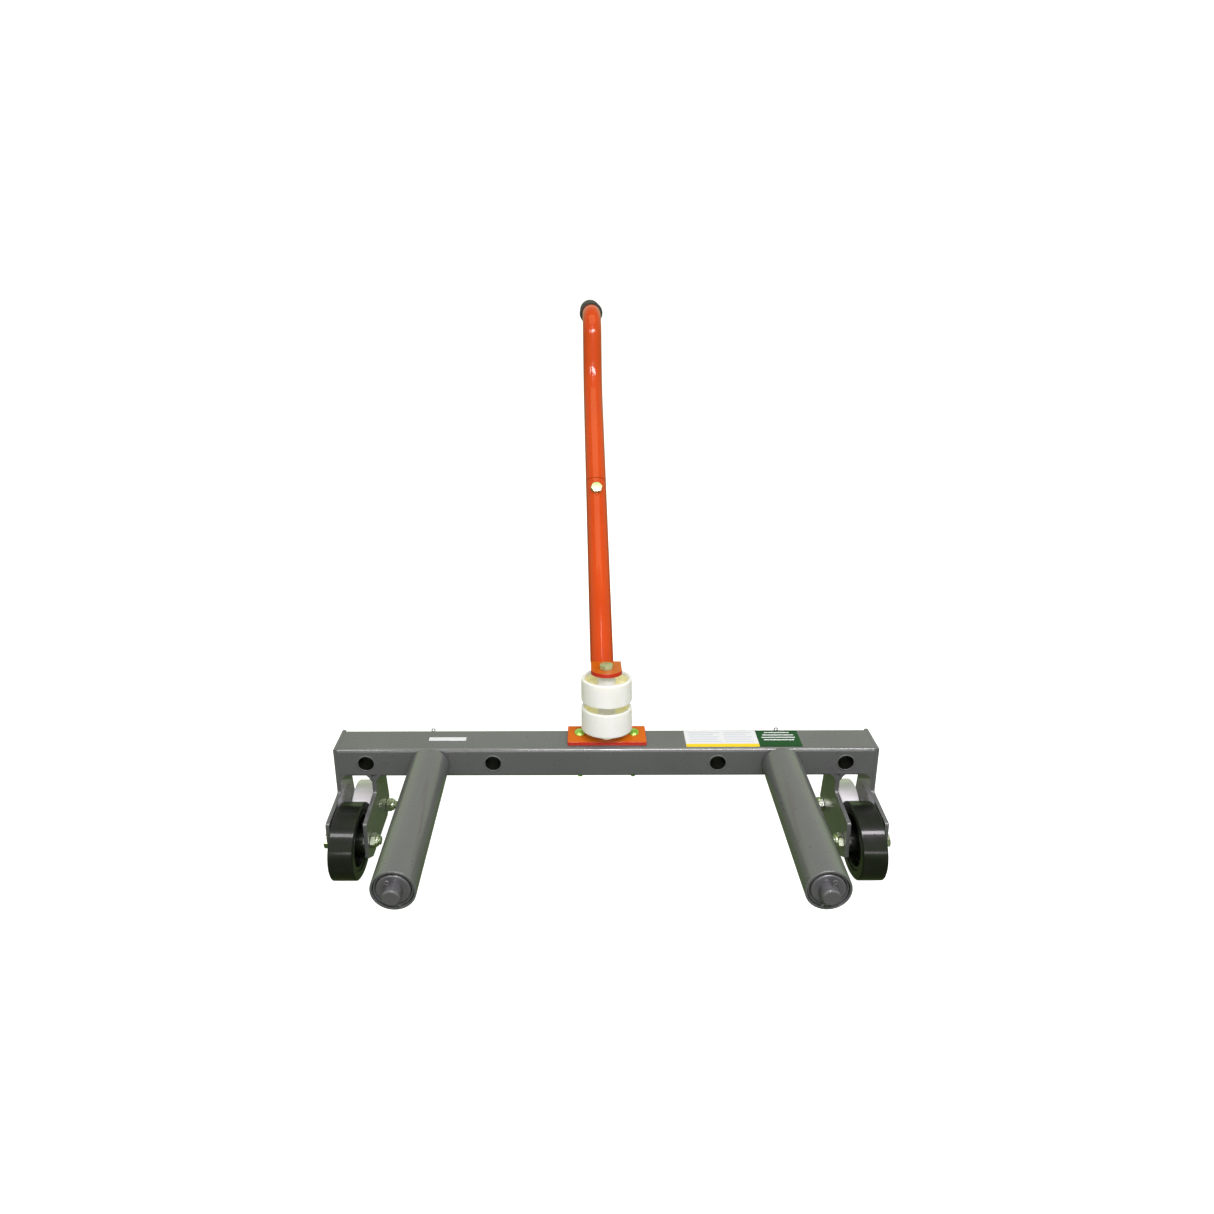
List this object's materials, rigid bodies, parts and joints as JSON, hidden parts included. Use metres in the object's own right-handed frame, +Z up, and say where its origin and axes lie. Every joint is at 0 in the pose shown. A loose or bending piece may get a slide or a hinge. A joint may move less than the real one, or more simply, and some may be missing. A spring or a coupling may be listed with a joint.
{
  "type": "truck wheel dolly",
  "caption": "Truck wheel dolly: steel crossbeam on wheels, fork rollers that lift a tyre, guide wheels that steady it, and a long cranked handle.",
  "frame": {"origin": "on the floor, under the middle of the dolly's bounding box", "axes": "+Z up, +Y from the fork tips to the handle, +X to the right seen from the fork side"},
  "size_m": [1.097, 1.222, 1.036],
  "materials": {
    "grey_paint": "gloss",
    "shaft_paint": "gloss",
    "orange_paint": "gloss",
    "red_paint": "gloss",
    "zinc": "bright zinc plate",
    "bearing_steel": "turned",
    "black_wheel": "gloss",
    "black_rubber": "satin",
    "white_nylon": "satin",
    "white_film": "satin",
    "green_film": "satin"
  },
  "bodies": {
    "frame": {"crossbeam": "grey_paint", "leg_welds": "grey_paint", "left_sleeves": "grey_paint", "left_outer_leg": "grey_paint", "left_inner_leg": "grey_paint", "left_axle_bolts": "zinc", "left_axle_nuts": "zinc", "left_axle_spacers": "zinc", "left_fork_shaft": "shaft_paint", "left_fork_washers": "shaft_paint", "left_fork_pins": "shaft_paint", "right_sleeves": "grey_paint", "right_outer_leg": "grey_paint", "right_inner_leg": "grey_paint", "right_axle_bolts": "zinc", "right_axle_nuts": "zinc", "right_axle_spacers": "zinc", "right_fork_shaft": "shaft_paint", "right_fork_washers": "shaft_paint", "right_fork_pins": "shaft_paint", "handle_base_plate": "orange_paint", "base_carriage_bolts": "zinc", "base_washers": "zinc", "base_nuts": "zinc", "guide_spindle": "bearing_steel", "guide_spacers": "white_nylon", "handle_strap": "orange_paint", "guide_bolt": "zinc", "lower_handle_tube": "red_paint", "upper_handle_tube": "red_paint", "joint_sleeve": "bearing_steel", "joint_bolt": "zinc", "joint_nut": "zinc", "grip": "black_rubber", "white_label": "white_film", "notice_label": "white_film", "green_label": "green_film"},
    "left_roller": {"left_roller_tube": "grey_paint", "left_roller_discs": "grey_paint", "left_roller_bushings": "bearing_steel"},
    "left_front_wheel_body": {"left_front_tyre": "black_wheel", "left_front_wheel_centre": "black_wheel", "left_front_bearing": "bearing_steel"},
    "left_rear_wheel_body": {"left_rear_wheel": "white_nylon", "left_rear_bearing": "bearing_steel"},
    "right_roller": {"right_roller_tube": "grey_paint", "right_roller_discs": "grey_paint", "right_roller_bushings": "bearing_steel"},
    "right_front_wheel_body": {"right_front_tyre": "black_wheel", "right_front_wheel_centre": "black_wheel", "right_front_bearing": "bearing_steel"},
    "right_rear_wheel_body": {"right_rear_wheel": "white_nylon", "right_rear_bearing": "bearing_steel"},
    "lower_guide": {"lower_guide_wheel": "white_nylon"},
    "upper_guide": {"upper_guide_wheel": "white_nylon"}
  },
  "joints": [
    {"name": "left_roller_spin", "type": "hinge", "parent": "frame", "child": "left_roller", "pos_m": [-0.347, -0.444, 0.197], "axis": [0, 1, 0], "continuous": true},
    {"name": "left_front_wheel_spin", "type": "hinge", "parent": "frame", "child": "left_front_wheel_body", "pos_m": [-0.4986, -0.354, 0.0685], "axis": [1, 0, 0], "continuous": true},
    {"name": "left_rear_wheel_spin", "type": "hinge", "parent": "frame", "child": "left_rear_wheel_body", "pos_m": [-0.4986, -0.2355, 0.049], "axis": [1, 0, 0], "continuous": true},
    {"name": "right_roller_spin", "type": "hinge", "parent": "frame", "child": "right_roller", "pos_m": [0.347, -0.444, 0.197], "axis": [0, 1, 0], "continuous": true},
    {"name": "right_front_wheel_spin", "type": "hinge", "parent": "frame", "child": "right_front_wheel_body", "pos_m": [0.4986, -0.354, 0.0685], "axis": [1, 0, 0], "continuous": true},
    {"name": "right_rear_wheel_spin", "type": "hinge", "parent": "frame", "child": "right_rear_wheel_body", "pos_m": [0.4986, -0.2355, 0.049], "axis": [1, 0, 0], "continuous": true},
    {"name": "lower_guide_spin", "type": "hinge", "parent": "frame", "child": "lower_guide", "pos_m": [0.004, -0.24911, 0.27152], "axis": [0, 0.2079, 0.9781], "continuous": true},
    {"name": "upper_guide_spin", "type": "hinge", "parent": "frame", "child": "upper_guide", "pos_m": [0.004, -0.23699, 0.32855], "axis": [0, 0.2079, 0.9781], "continuous": true}
  ]
}
